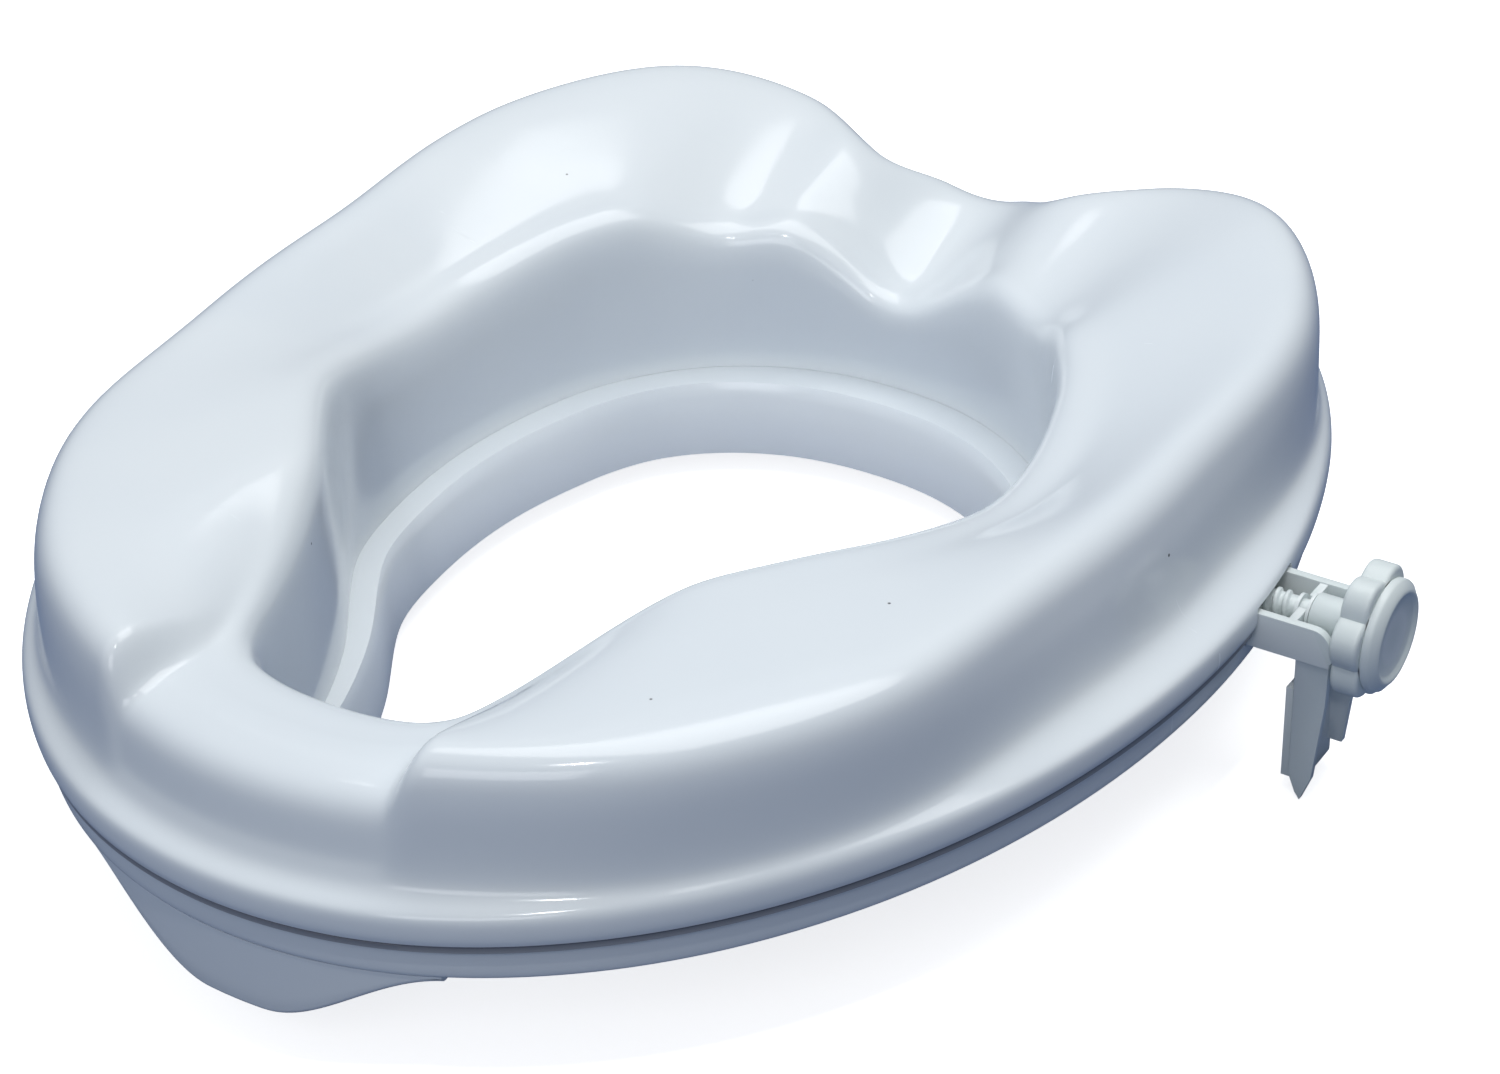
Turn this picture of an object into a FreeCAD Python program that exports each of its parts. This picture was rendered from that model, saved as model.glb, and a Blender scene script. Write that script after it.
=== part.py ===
import FreeCAD, Part
import math
import os

from FreeCAD import Rotation, Vector

# Raised toilet seat with a screw-clamped side bracket on its right, and an empty bracket slot on
# its left. Millimetres, +Z up, front towards -Y, +X to the right, x = 0 the shells' mirror plane.
# The dimensions below are measured from the bracket's leg tip (z = 0) and from the middle of the
# lip's depth (y = 0). The finished nodes are moved so that the origin is in the middle of the
# rear rest pad's underside, where the seat meets the bowl.

# ---- Driving dimensions -------------------------------------------------------------------------
HALF_WIDTH = 173.8        # widest half-width, at the lip
HALF_DEPTH = 207.5        # front and rear ends of the lip
WIDEST_Y = 26.0           # where the plan is widest
REAR_POWER = 7.0          # squareness of the rear half of the plan (2 is an ellipse)
REAR_TAPER = 0.36         # how much the rear half narrows towards its end

REST_Z = 41.0             # underside of the base, which rests on the bowl
LIP_Z = 54.0              # underside of the seat shell's lip
TOP_Z = 101.5             # sides of the seat
CORNER_RISE = 6.0         # extra height of the rear corners
REAR_CREST_Z = 94.5       # crests beside the rear recess
FRONT_DIP_Z = 88.0        # floor of the front recess
REAR_DIP_Z = 77.0         # floor of the rear recess
LEDGE_Z = 34.0            # ledge inside the aperture
COLLAR_Z = 9.0            # lower edge of the collar inside the bowl
GUARD_Z = 19.0            # lowest point of the front guard
WALL = 3.0                # moulded wall thickness
SEAT_FOOT_Z = 35.0        # lower edge of the seat shell's inner wall, just above the ledge
LEDGE_WIDTH = (11.5, 14.5)     # ledge from the aperture wall to the collar, front and rear

FRONT_DIP_X = (43.5, 51.5)    # half-widths of the front recess, at its floor and at its crest
REAR_DIP_X = (2.0, 48.0)      # the same for the rear recess
CORNER_X = 128.0              # where the rear crests reach their full height
DISH = 15.0                   # fall of the top towards the aperture in the rear half
CHEEK_ANGLES = (10.5, 28.0)   # where the aperture's edge rises from the front recess

# Half of the aperture, front to rear: plan angle of the matching rim point, then x and y.
APERTURE = (
    (0.0, 0.0, -152.0), (5.5, 19.5, -150.0), (9.5, 31.5, -144.0), (11.5, 36.5, -136.5),
    (13.0, 40.0, -126.0), (17.0, 46.5, -106.0), (24.0, 58.0, -81.0), (36.0, 73.5, -58.0),
    (52.0, 88.0, -35.0), (70.0, 95.0, -4.0), (90.0, 96.5, 28.0), (110.0, 91.5, 60.0),
    (130.0, 80.0, 89.0), (146.0, 62.0, 110.5), (158.0, 42.5, 123.0), (169.0, 22.0, 130.0),
    (180.0, 0.0, 132.0),
)

# Plan angles of the ring's sections, closest together where the recesses begin.
STATIONS = (
    [0.0, 3.0, 6.0, 8.5, 10.2, 11.2, 12.1, 13.0, 14.0, 15.6, 18.0, 21.5, 26.0, 31.0]
    + [37.0 + 7.5 * k for k in range(11)]
    + [118.5 + 4.0 * k for k in range(9)]
    + [154.0, 157.5, 161.0, 164.5, 168.0, 172.0, 176.0, 180.0]
)

# Bracket and clamp, on the right side.
ARM_Y = 50.0              # middle of the bracket
ARM_WIDTH = 26.0
ARM_WALL = 2.6
ARM_FLOOR = 1.5
ARM_Z = (47.5, 59.0)      # bottom and top of the arm
ARM_X = (139.5, 195.0)    # inner and outer ends of the arm
FLOOR_END_X = 184.0       # where the arm's floor turns down into the leg
WEB_X = (181.0, 183.5)    # cross web that carries the screw
SCREW_Z = 55.5
SLIDE = 0.3               # clearance round sliding pieces

THREAD_R = 4.2
THREAD_ROOT_R = 3.3
THREAD_PITCH = 3.0
NECK_R = 3.2
SCREW_X = (109.0, 202.0)  # inner end, and outer end inside the knob
NECK_X = (178.5, 185.0)
CLIP_X = (179.7, 180.7)   # retaining clip in its groove
CLIP_DEPTH = 0.6
CLIP_R = 4.6
HUB_R = 6.1
KNOB_X = (184.6, 196.8, 205.0)    # hub face, back and front of the lobed head
KNOB_R = 19.6
KNOB_LOBES = 7
LOBE_R = 5.6
LOBE_DEPTH = 2.8          # from a lobe's crest to the round core of the head
CAP_R = 16.4
CAP_X = (203.5, 209.5)

GUIDE_X = (109.5, 155.5)
CHANNEL_X = 129.0         # inner end of the guide's channel
NUT_X = (114.5, 122.5)
NUT_ACROSS_FLATS = 14.0

LEG_WIDTH = 23.6
LEG_X = 184.5             # inner face of the leg
JAW_X = (181.8, 184.5)
PAD_HEIGHT = 1.5          # rest pads under the base


# ---- Plan curves --------------------------------------------------------------------------------
def rim_point(angle):
    """Point of the lip's outline at a plan angle: 0 at the front, 90 at the right."""
    across = abs(math.sin(math.radians(angle)))
    along = math.cos(math.radians(angle))
    if along >= 0:
        power = 2.0
        reach = HALF_DEPTH + WIDEST_Y
    else:
        power = REAR_POWER
        reach = HALF_DEPTH - WIDEST_Y
    scale = ((across / HALF_WIDTH) ** power + (abs(along) / reach) ** power) ** (-1.0 / power)
    x = across * scale
    if along < 0:
        x *= 1.0 - REAR_TAPER * (along * scale / reach) ** 2
    return Vector(x, WIDEST_Y - along * scale, 0)


def aperture_curve():
    """Smooth curve through the aperture's points, both sides, with the plan angle as parameter."""
    left = [(-angle, -x, y) for angle, x, y in APERTURE[3:0:-1]]
    right = [(360.0 - angle, -x, y) for angle, x, y in APERTURE[-2:-5:-1]]
    rows = left + list(APERTURE) + right
    curve = Part.BSplineCurve()
    curve.interpolate(
        Points=[Vector(x, y, 0) for angle, x, y in rows], Parameters=[row[0] for row in rows]
    )
    return curve


APERTURE_CURVE = aperture_curve()


def blend(value, start, end):
    """0 before start, 1 after end, smooth between."""
    share = min(max((value - start) / (end - start), 0.0), 1.0)
    return share * share * (3.0 - 2.0 * share)


def wall_lean(angle):
    """How far the outer wall leans in: most at the sides and the rear crests, least at the corners."""
    front_corner = blend(angle, 12.0, 32.0) * (1.0 - blend(angle, 45.0, 62.0))
    side = blend(angle, 45.0, 70.0) * (1.0 - blend(angle, 95.0, 122.0))
    rear_corner = blend(angle, 95.0, 128.0) * (1.0 - blend(angle, 148.0, 170.0))
    crest = blend(angle, 148.0, 162.0) * (1.0 - blend(angle, 164.0, 173.0))
    return 1.0 - 0.4 * front_corner + 0.75 * side - 0.6 * rear_corner + 1.1 * crest


def top_height(angle):
    """Height of the seat's top at a section."""
    x = rim_point(angle).x
    if angle < 90:
        return FRONT_DIP_Z + (TOP_Z - FRONT_DIP_Z) * blend(x, *FRONT_DIP_X)
    side = TOP_Z + CORNER_RISE * blend(angle, 90.0, 135.0)
    crest = REAR_CREST_Z + (side - REAR_CREST_Z) * blend(x, REAR_DIP_X[1], CORNER_X)
    return REAR_DIP_Z + (crest - REAR_DIP_Z) * blend(x, *REAR_DIP_X)


def inner_dish(angle):
    """How far the top falls from its outer edge to the aperture."""
    rear = 1.0 - 0.4 * blend(angle, 146.0, 164.0) + 0.3 * blend(angle, 168.0, 179.0)
    cheek = blend(rim_point(angle).x, *FRONT_DIP_X) - blend(angle, *CHEEK_ANGLES)
    front = (TOP_Z - FRONT_DIP_Z) * cheek if angle < 90 else 0.0
    return front + DISH * blend(angle, 42.0, 88.0) * rear


class Station:
    """One radial section of the ring: a vertical plane from the rim to the aperture."""

    def __init__(self, angle, side):
        self.angle = angle
        self.side = side
        self.rim = rim_point(angle)
        self.hole = APERTURE_CURVE.value(angle)
        if angle in (0.0, 180.0):
            self.rim.x = 0.0
            self.hole.x = 0.0
        self.width = (self.hole - self.rim).Length
        self.inward = (self.hole - self.rim).normalize()
        self.top = top_height(angle)
        self.lean = wall_lean(angle)
        self.dish = inner_dish(angle)
        front_ledge, rear_ledge = LEDGE_WIDTH
        self.ledge = front_ledge + (rear_ledge - front_ledge) * blend(angle, 90.0, 150.0)

    def place(self, row):
        """Point at (distance in from the rim, height)."""
        point = self.rim + self.inward * row[0]
        return Vector(self.side * point.x, point.y, row[1])


def ring_stations():
    right = [Station(angle, 1) for angle in STATIONS]
    left = [Station(angle, -1) for angle in STATIONS[-2:0:-1]]
    return right + left


RING = ring_stations()


# ---- Ring surfaces ------------------------------------------------------------------------------
def ring_skin(grid):
    """Smooth cubic surface, closed round the ring, from one row of poles per section."""
    degree = 3
    around = [float(k) for k in range(len(grid) + 1)]
    along = [float(k) for k in range(len(grid[0]) - degree + 1)]
    around_mults = [1] * len(around)
    along_mults = [degree + 1] + [1] * (len(along) - 2) + [degree + 1]
    surface = Part.BSplineSurface()
    surface.buildFromPolesMultsKnots(
        grid, around_mults, along_mults, around, along, True, False, degree, degree
    )
    return surface


def ring_edge(surface, last):
    bounds = surface.bounds()
    return surface.vIso(bounds[3] if last else bounds[2]).toShape()


def ring_solid(outer_rows, inner_rows):
    """Closed ring between two skins. Each argument maps a station to its rows of poles."""
    skins = []
    for rows in (outer_rows, inner_rows):
        skins.append(ring_skin([[station.place(row) for row in rows(station)] for station in RING]))
    faces = [skin.toShape() for skin in skins]
    for last in (False, True):
        faces.append(Part.makeRuledSurface(ring_edge(skins[0], last), ring_edge(skins[1], last)))
    return closed_solid(faces)


def closed_solid(faces):
    shell = Part.makeShell(faces)
    shell.sewShape()
    solid = Part.makeSolid(shell)
    if solid.Volume < 0:
        solid.reverse()
    return solid


def offset_rows(rows, distance):
    """Rows moved sideways in their own section, to the left of their direction of travel."""
    moved = []
    for k, row in enumerate(rows):
        before = rows[max(k - 1, 0)]
        after = rows[min(k + 1, len(rows) - 1)]
        run = after[0] - before[0]
        rise = after[1] - before[1]
        length = math.hypot(run, rise)
        moved.append((row[0] + distance * rise / length, row[1] - distance * run / length))
    return moved


# ---- Seat shell ---------------------------------------------------------------------------------
def seat_rows(station):
    """Outer skin from the foot of the lip, over the top and down the aperture wall."""
    top = station.top
    width = station.width
    depth = min(1.0, (top - LIP_Z - 12.0) / 22.0)
    lean = station.lean
    lip = [(0.6, LIP_Z), (0.0, 55.2), (-0.1, 58.0), (0.2, 61.0), (1.4, 63.0)]
    shelf = [(1.4 + 3.2 * lean, 64.0), (1.4 + 6.2 * lean, 65.4)]
    foot = 1.4 + 8.2 * lean
    edge = foot + 2.4 * lean
    wall = [(foot, 69.0), (foot + 1.2 * lean, top - 17 * depth), (edge, top - 11 * depth)]
    roll = [(edge + 1.6, top - 5.5 * depth), (edge + 5.6, top - 1.4 * depth), (edge + 12.0, top)]
    low = top - station.dish
    inner_roll = [(width - 17.0, low), (width - 10.0, low - 0.3), (width - 4.5, low - 2.4 * depth)]
    drop = [(width - 1.6, low - 7 * depth), (width - 0.6, low - 14 * depth)]
    skirt = [(width - 0.2, 54.0), (width, 45.0), (width, SEAT_FOOT_Z)]
    span = width - 29.0 - edge
    crown = [(edge + 12.0 + span * share, top + 0.6 - station.dish * share) for share in (0.25, 0.5, 0.75)]
    return lip + shelf + wall + roll + crown + inner_roll + drop + skirt


def seat_inner_rows(station):
    rows = offset_rows(seat_rows(station), WALL)
    rows[0] = (0.6 + WALL, LIP_Z)
    rows[-1] = (station.width - WALL, SEAT_FOOT_Z)
    return rows


# ---- Base shell ---------------------------------------------------------------------------------
TONGUE = (5.4, 8.0)       # upstand that fits inside the lip, from the rim
TONGUE_Z = 57.5
BAND_INSET = 3.4
STEP_INSET = 4.4          # from the aperture wall to the step down to the ledge


def base_under_rows(station):
    """Outer and lower skin: tongue, band, flat underside, step, and the outside of the collar."""
    width = station.width
    collar = width + station.ledge - WALL
    tongue = [(TONGUE[0], TONGUE_Z), (TONGUE[0], 54.5), (TONGUE[0], 52.2), (TONGUE[0], 52.0)]
    band = [(BAND_INSET + 0.6, 52.0), (BAND_INSET, 51.6), (BAND_INSET, 47.0), (BAND_INSET + 0.1, 42.4)]
    under = [(BAND_INSET + 0.8, REST_Z), (7.0, REST_Z), (20.0, REST_Z), (width * 0.5, REST_Z)]
    low = LEDGE_Z - WALL
    turn = width - STEP_INSET - WALL
    step = [(turn - 7.0, REST_Z), (turn - 0.4, REST_Z), (turn, REST_Z - 0.4), (turn, low + 0.6)]
    ledge = [(turn + 0.4, low), (width + 4.0, low), (collar - 1.0, low), (collar, low - 1.0)]
    return tongue + band + under + step + ledge + [(collar, 22.0), (collar, COLLAR_Z)]


def base_upper_rows(station):
    """Inner and upper skin, matching the lower one."""
    width = station.width
    collar = width + station.ledge
    plate = REST_Z + WALL
    tongue = [(TONGUE[1], TONGUE_Z), (TONGUE[1], 54.5), (TONGUE[1], 50.0), (TONGUE[1], 48.0)]
    corner = [(TONGUE[1], 46.0), (TONGUE[1] + 0.3, 44.6), (TONGUE[1] + 1.2, plate), (12.0, plate)]
    over = [(14.0, plate), (18.0, plate), (24.0, plate), (width * 0.5, plate)]
    turn = width - STEP_INSET
    step = [(turn - 5.0, plate), (turn - 0.6, plate), (turn, plate - 0.6), (turn, LEDGE_Z + 0.4)]
    ledge = [(turn + 0.4, LEDGE_Z), (width + 4.0, LEDGE_Z), (collar - 2.6, LEDGE_Z), (collar, LEDGE_Z - 1.6)]
    return tongue + corner + over + step + ledge + [(collar, 22.0), (collar, COLLAR_Z)]


# ---- Seam and guard -----------------------------------------------------------------------------
def bead_outer_rows(station):
    return [(4.2, 54.6), (4.2, 55.4), (4.2, 56.2), (4.2, 57.0)]


def bead_inner_rows(station):
    return [(5.2, 54.6), (5.2, 55.4), (5.2, 56.2), (5.2, 57.0)]


GUARD_HALF = 58.0         # half-width of the front guard
GUARD_INSET = 4.6
GUARD_SECTIONS = 25


def guard_depth(x):
    """Lower edge of the front guard at x: a rounded dip below the base."""
    return GUARD_Z + (REST_Z - 2.0 - GUARD_Z) * blend(abs(x), 0.15 * GUARD_HALF, GUARD_HALF)


def guard_point(x, inset, z):
    """Point at x on the front of the rim, moved in by inset."""
    reach = HALF_DEPTH + WIDEST_Y
    half = HALF_WIDTH - inset
    y = WIDEST_Y - (reach - inset) * math.sqrt(1.0 - (x / half) ** 2)
    return Vector(x, y, z)


def front_guard():
    """Curved plate under the front of the base."""
    heights = (1.0, 0.75, 0.5, 0.25, 0.0)
    skins = []
    for inset in (GUARD_INSET, GUARD_INSET + WALL):
        grid = []
        for k in range(GUARD_SECTIONS):
            x = GUARD_HALF * (2.0 * k / (GUARD_SECTIONS - 1) - 1.0)
            low = guard_depth(x)
            row = [guard_point(x, inset, low + (REST_Z - low) * share) for share in heights]
            grid.append(row)
        surface = Part.BSplineSurface()
        surface.interpolate(grid)
        skins.append(surface)
    faces = [skin.toShape() for skin in skins]
    for first, second in zip(faces[0].Edges, faces[1].Edges):
        faces.append(Part.makeRuledSurface(first, second))
    return closed_solid(faces)


# ---- Small helpers ------------------------------------------------------------------------------
def box(x, y, z):
    """Box from (low, high) pairs."""
    return Part.makeBox(x[1] - x[0], y[1] - y[0], z[1] - z[0], Vector(x[0], y[0], z[0]))


def rod(radius, x, y=ARM_Y, z=SCREW_Z):
    """Cylinder along X between two x values."""
    return Part.makeCylinder(radius, x[1] - x[0], Vector(x[0], y, z), Vector(1, 0, 0))


def plate_xz(outline, y):
    """Plate with an (x, z) outline, between two y values."""
    points = [Vector(x, y[0], z) for x, z in outline]
    face = Part.Face(Part.makePolygon(points + points[:1]))
    return face.extrude(Vector(0, y[1] - y[0], 0))


def hexagon(across_flats, x, y=ARM_Y, z=SCREW_Z):
    """Hexagonal bar along X between two x values."""
    radius = across_flats / math.sqrt(3.0)
    points = []
    for k in range(6):
        turn = math.radians(60.0 * k)
        points.append(Vector(x[0], y + radius * math.cos(turn), z + radius * math.sin(turn)))
    face = Part.Face(Part.makePolygon(points + points[:1]))
    return face.extrude(Vector(x[1] - x[0], 0, 0))


ARM_SPAN = (ARM_Y - ARM_WIDTH / 2, ARM_Y + ARM_WIDTH / 2)


def arm_slot():
    """Opening in the rim that the bracket's arm passes through."""
    y = (ARM_SPAN[0] - 0.6, ARM_SPAN[1] + 0.6)
    return box((160.0, 185.0), y, (ARM_Z[0] - 0.7, SCREW_Z + THREAD_R + 0.8))


# ---- Bracket ------------------------------------------------------------------------------------
def arm_side():
    """Side wall of the arm, with a rounded outer top corner and a small bead at its end."""
    low, high = ARM_Z
    wall = box(ARM_X, (0, ARM_WALL), ARM_Z)
    corner = [e for e in wall.Edges if e.BoundBox.XMin > ARM_X[1] - 0.1 and e.BoundBox.ZMin > high - 0.1]
    wall = wall.makeFillet(5.5, corner)
    bead = Part.makeCylinder(1.5, ARM_WALL, Vector(ARM_X[1] - 0.6, 0, low + 3.0), Vector(0, 1, 0))
    return wall.fuse(bead)


def bracket():
    """Channel arm with a cross web, and the leg that turns down outside the bowl."""
    near = arm_side()
    near.translate(Vector(0, ARM_SPAN[0], 0))
    far = arm_side()
    far.translate(Vector(0, ARM_SPAN[1] - ARM_WALL, 0))
    inside = (ARM_SPAN[0] + ARM_WALL, ARM_SPAN[1] - ARM_WALL)
    floor = box((ARM_X[0], FLOOR_END_X), inside, (ARM_Z[0], ARM_Z[0] + ARM_FLOOR))
    web = box(WEB_X, inside, (ARM_Z[0], ARM_Z[1] - 0.5))
    saddle = rod(NECK_R + 0.25, (WEB_X[0] - 1, WEB_X[1] + 1))
    mouth = box(
        (WEB_X[0] - 1, WEB_X[1] + 1),
        (ARM_Y - NECK_R - 0.25, ARM_Y + NECK_R + 0.25),
        (SCREW_Z, ARM_Z[1] + 1),
    )
    web = web.cut(saddle.fuse(mouth))
    leg_span = (ARM_Y - LEG_WIDTH / 2, ARM_Y + LEG_WIDTH / 2)
    top = ARM_Z[0] + 1.0
    foot = [(LEG_X + 2.3, 2.2), (LEG_X, 8.0)]
    rib = [(LEG_X, top), (LEG_X + 10.1, top), (LEG_X + 9.7, 34.0), (LEG_X + 6.9, 8.0), (LEG_X + 3.9, 0.0)] + foot
    far_rib = rib[:4] + [(LEG_X, 8.0)]
    ribs = [
        plate_xz(rib, (leg_span[0], leg_span[0] + 2.4)),
        plate_xz(far_rib, (leg_span[1] - 2.4, leg_span[1])),
    ]
    back = [(LEG_X, top), (LEG_X + 2.5, top), (LEG_X + 2.5, 3.0)] + foot
    knee = box((FLOOR_END_X - 4.0, LEG_X + 2.5), inside, (ARM_Z[0], ARM_Z[0] + ARM_FLOOR))
    solid = near.multiFuse([far, floor, web, plate_xz(back, leg_span), knee] + ribs)
    return solid.removeSplitter()


def jaw_pad():
    """Grip plate on the inner face of the leg, with a pointed lower end."""
    span = (ARM_Y - 10.6, ARM_Y + 10.6)
    pad = box(JAW_X, span, (6.0, 36.0))
    tip = Part.makePolygon(
        [
            Vector(JAW_X[0], span[0], 6.0),
            Vector(JAW_X[0], span[1], 6.0),
            Vector(JAW_X[0], ARM_Y + 3.0, 2.6),
            Vector(JAW_X[0], ARM_Y - 3.0, 2.6),
            Vector(JAW_X[0], span[0], 6.0),
        ]
    )
    pad = pad.fuse(Part.Face(tip).extrude(Vector(JAW_X[1] - JAW_X[0], 0, 0)))
    return pad.removeSplitter()


# ---- Screw, knob and nut ------------------------------------------------------------------------
def clamp_screw():
    """Threaded rod with a plain neck where it passes the web, and a plain end inside the knob."""
    outline = [(SCREW_X[0], 0.0), (SCREW_X[0], THREAD_ROOT_R)]
    turns = int((NECK_X[0] - SCREW_X[0] - 1.0) / THREAD_PITCH)
    for k in range(turns):
        start = SCREW_X[0] + 0.6 + k * THREAD_PITCH
        outline += [
            (start, THREAD_ROOT_R),
            (start + 0.8, THREAD_R),
            (start + 1.7, THREAD_R),
            (start + 2.5, THREAD_ROOT_R),
        ]
    outline += [(NECK_X[0], THREAD_ROOT_R), (NECK_X[0], NECK_R), (SCREW_X[1], NECK_R), (SCREW_X[1], 0.0)]
    points = [Vector(x, ARM_Y, SCREW_Z + r) for x, r in outline]
    face = Part.Face(Part.makePolygon(points + points[:1]))
    rod_solid = face.revolve(Vector(0, ARM_Y, SCREW_Z), Vector(1, 0, 0), 360)
    groove = rod(NECK_R + 1, CLIP_X).cut(rod(NECK_R - CLIP_DEPTH, CLIP_X))
    return rod_solid.cut(groove)


def knob():
    """Lobed head and smooth hub in one moulding, bored for the screw and recessed for its cap."""
    hub_face, back, front = KNOB_X
    thickness = front - back
    head = Part.makeCylinder(KNOB_R - LOBE_DEPTH, thickness)
    lobes = []
    for k in range(KNOB_LOBES):
        lobe = Part.makeCylinder(LOBE_R, thickness, Vector(KNOB_R - LOBE_R, 0, 0))
        lobe.rotate(Vector(0, 0, 0), Vector(0, 0, 1), 360.0 * k / KNOB_LOBES)
        lobes.append(lobe)
    head = head.multiFuse(lobes).removeSplitter()
    crests = [e for e in head.Edges if e.BoundBox.ZLength < 0.01]
    head = head.makeChamfer(0.9, crests)
    head.Placement = FreeCAD.Placement(Vector(back, ARM_Y, SCREW_Z), Rotation(Vector(0, 1, 0), 90))
    hub = rod(HUB_R, (hub_face, back + 1.0))
    bore = rod(NECK_R, (hub_face - 1, SCREW_X[1]))
    seat = rod(CAP_R - 1.4, (CAP_X[0], front + 1))
    return head.fuse(hub).cut(bore.fuse(seat)).removeSplitter()


def knob_cap():
    """Round cap on the knob's end: a bevelled rim round a shallow dish."""
    plug = rod(CAP_R - 1.4, (CAP_X[0], KNOB_X[2]))
    rim = rod(CAP_R, (KNOB_X[2], CAP_X[1]))
    rim = rim.makeChamfer(2.2, [e for e in rim.Edges if e.BoundBox.XMin > CAP_X[1] - 0.01])
    dish = Part.makeCone(CAP_R - 4.6, CAP_R - 3.6, 1.2, Vector(CAP_X[1] - 1.2, ARM_Y, SCREW_Z), Vector(1, 0, 0))
    return plug.fuse(rim).cut(dish).removeSplitter()


def thrust_washer():
    """Washer between the web and the knob's hub."""
    x = (WEB_X[1] + 0.1, KNOB_X[0] - 0.1)
    return rod(5.6, x).cut(rod(NECK_R + 0.06, (x[0] - 1, x[1] + 1)))


def retaining_clip():
    """Clip in the screw's groove, on the inner side of the web."""
    clip = rod(CLIP_R, CLIP_X).cut(rod(NECK_R - CLIP_DEPTH, CLIP_X))
    return clip.cut(box(CLIP_X, (ARM_Y - 2.2, ARM_Y + 2.2), (SCREW_Z - 8.0, SCREW_Z)))


def captive_nut():
    nut = hexagon(NUT_ACROSS_FLATS, NUT_X)
    return nut.cut(rod(THREAD_R + 0.06, (NUT_X[0] - 1, NUT_X[1] + 1)))


GUIDE_SPAN = (ARM_SPAN[0] - 5.0, ARM_SPAN[1] + 5.0)
GUIDE_TOP = 64.0
GUIDE_SCREW_SPOTS = ((125.8, GUIDE_SPAN[0] + 3.4), (125.8, GUIDE_SPAN[1] - 3.4))


def guide_block():
    """Sleeve on the base for the arm, with a hexagonal pocket for the nut at its inner end."""
    plate = REST_Z + WALL
    block = box(GUIDE_X, GUIDE_SPAN, (plate, GUIDE_TOP))
    block = block.makeChamfer(1.2, [e for e in block.Edges if e.BoundBox.ZMin > GUIDE_TOP - 0.1])
    channel = box(
        (CHANNEL_X, GUIDE_X[1] + 1),
        (ARM_SPAN[0] - SLIDE, ARM_SPAN[1] + SLIDE),
        (ARM_Z[0] - SLIDE, ARM_Z[1] + 1.6),
    )
    pocket = hexagon(NUT_ACROSS_FLATS + 0.2, (NUT_X[0] - 0.1, NUT_X[1] + 0.1))
    half_nut = NUT_ACROSS_FLATS / math.sqrt(3.0) + 0.1
    chute = box(
        (NUT_X[0] - 0.1, NUT_X[1] + 0.1), (ARM_Y - half_nut, ARM_Y + half_nut), (SCREW_Z, GUIDE_TOP + 1)
    )
    bore = rod(THREAD_R + 0.6, (GUIDE_X[0] - 1, CHANNEL_X + 1))
    pilots = [
        Part.makeCylinder(1.6, 10.0, Vector(x, y, plate - 1), Vector(0, 0, 1)) for x, y in GUIDE_SCREW_SPOTS
    ]
    for opening in [channel, pocket, chute, bore] + pilots:
        block = block.cut(opening)
    return block


def countersunk_screw(x, y, grow=0.0):
    """Countersunk screw driven up through the base, its head flush with the underside."""
    head = Part.makeCone(3.4 + grow, 1.6 + grow, 2.0, Vector(x, y, REST_Z), Vector(0, 0, 1))
    shank = Part.makeCylinder(1.6 + grow, 9.0, Vector(x, y, REST_Z), Vector(0, 0, 1))
    return head.fuse(shank)


def guide_screws():
    solids = []
    for x, y in GUIDE_SCREW_SPOTS:
        slot = box((x - 2.2, x + 2.2), (y - 0.4, y + 0.4), (REST_Z - 1, REST_Z + 0.9))
        cross = box((x - 0.4, x + 0.4), (y - 2.2, y + 2.2), (REST_Z - 1, REST_Z + 0.9))
        solids.append(countersunk_screw(x, y).cut(slot.fuse(cross)).removeSplitter())
    return solids


def guide_screw_holes():
    return [countersunk_screw(x, y, 0.05) for x, y in GUIDE_SCREW_SPOTS]


# ---- Rest pads ----------------------------------------------------------------------------------
PADS = {
    "front_right": (38.0, 1),
    "front_left": (38.0, -1),
    "rear_right": (130.0, 1),
    "rear_left": (130.0, -1),
    "rear_middle": (180.0, 1),
}
PAD_SIZE = (42.0, 18.0)
PAD_PLACE = 0.42          # share of the way in from the rim to the aperture


def rest_pad(angle, side):
    """Soft pad under the base, between rim and aperture."""
    station = Station(angle, 1)
    middle = station.rim + station.inward * (PAD_PLACE * station.width)
    pad = Part.makeBox(PAD_SIZE[0], PAD_SIZE[1], PAD_HEIGHT, Vector(-PAD_SIZE[0] / 2, -PAD_SIZE[1] / 2, 0))
    pad = pad.makeFillet(6.0, [e for e in pad.Edges if e.BoundBox.ZLength > PAD_HEIGHT - 0.01])
    turn = math.degrees(math.atan2(station.inward.y, station.inward.x)) + 90.0
    pad.rotate(Vector(0, 0, 0), Vector(0, 0, 1), turn)
    pad.translate(Vector(middle.x, middle.y, REST_Z - PAD_HEIGHT))
    return pad if side > 0 else mirrored(pad)


# ---- Assembly -----------------------------------------------------------------------------------
def mirrored(shape):
    return shape.mirror(Vector(0, 0, 0), Vector(1, 0, 0))


def both_sides(shape):
    return Part.makeCompound([shape, mirrored(shape)])


def origin():
    """Middle of the rear rest pad's underside."""
    angle, side = PADS["rear_middle"]
    pad = rest_pad(angle, side).BoundBox
    return Vector(0, pad.Center.y, pad.ZMin)


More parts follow.
